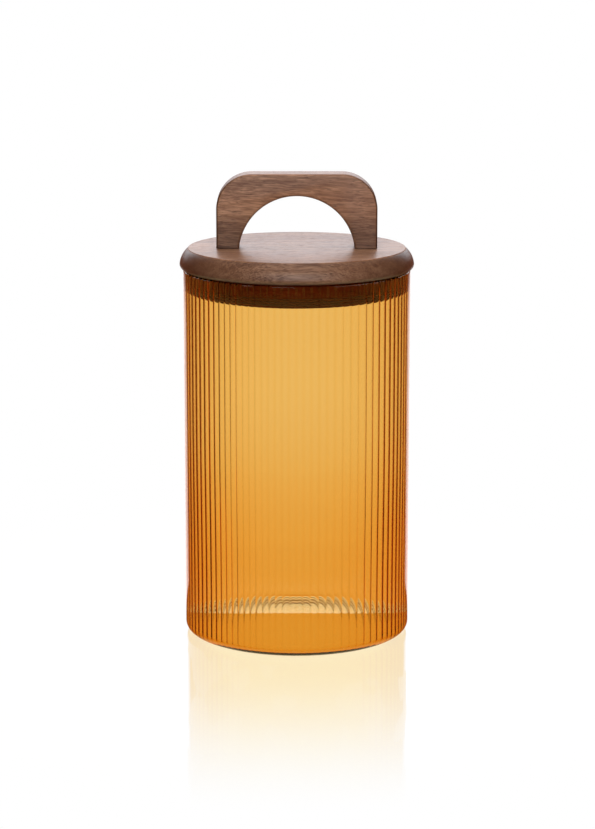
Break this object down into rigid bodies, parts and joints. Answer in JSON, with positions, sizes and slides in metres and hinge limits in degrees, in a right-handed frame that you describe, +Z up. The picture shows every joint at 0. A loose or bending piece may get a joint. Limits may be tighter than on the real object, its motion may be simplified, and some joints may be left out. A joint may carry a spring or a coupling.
{
  "type": "apothecary jar",
  "caption": "Cylindrical amber glass storage jar with a scalloped inner wall, and a round walnut lid with a seal ring and an arched wooden handle.",
  "frame": {"origin": "centre of the standing ring under the glass, on the jar's axis", "axes": "+Z up along the jar's axis, +X along the handle, -Y towards the viewer"},
  "size_m": [0.1032, 0.1032, 0.2058],
  "materials": {
    "amber_glass": "clear amber, smooth outside, scalloped inside",
    "walnut": "sanded, thin oil",
    "seal_silicone": "matte brown silicone",
    "screw_steel": "zinc plated"
  },
  "bodies": {
    "jar": {"glass_body": "amber_glass"},
    "seal": {"seal_ring": "seal_silicone"},
    "lid": {"lid_board": "walnut", "lid_plug": "walnut", "handle": "walnut", "handle_screw_left": "screw_steel", "handle_screw_right": "screw_steel"}
  },
  "joints": [
    {"name": "lid_lift", "type": "slide", "parent": "jar", "child": "seal", "axis": [0, 0, 1], "range_m": [0, 0.08]},
    {"name": "lid_turn", "type": "hinge", "parent": "seal", "child": "lid", "pos_m": [0, 0, 0.163], "axis": [0, 0, 1], "continuous": true}
  ]
}
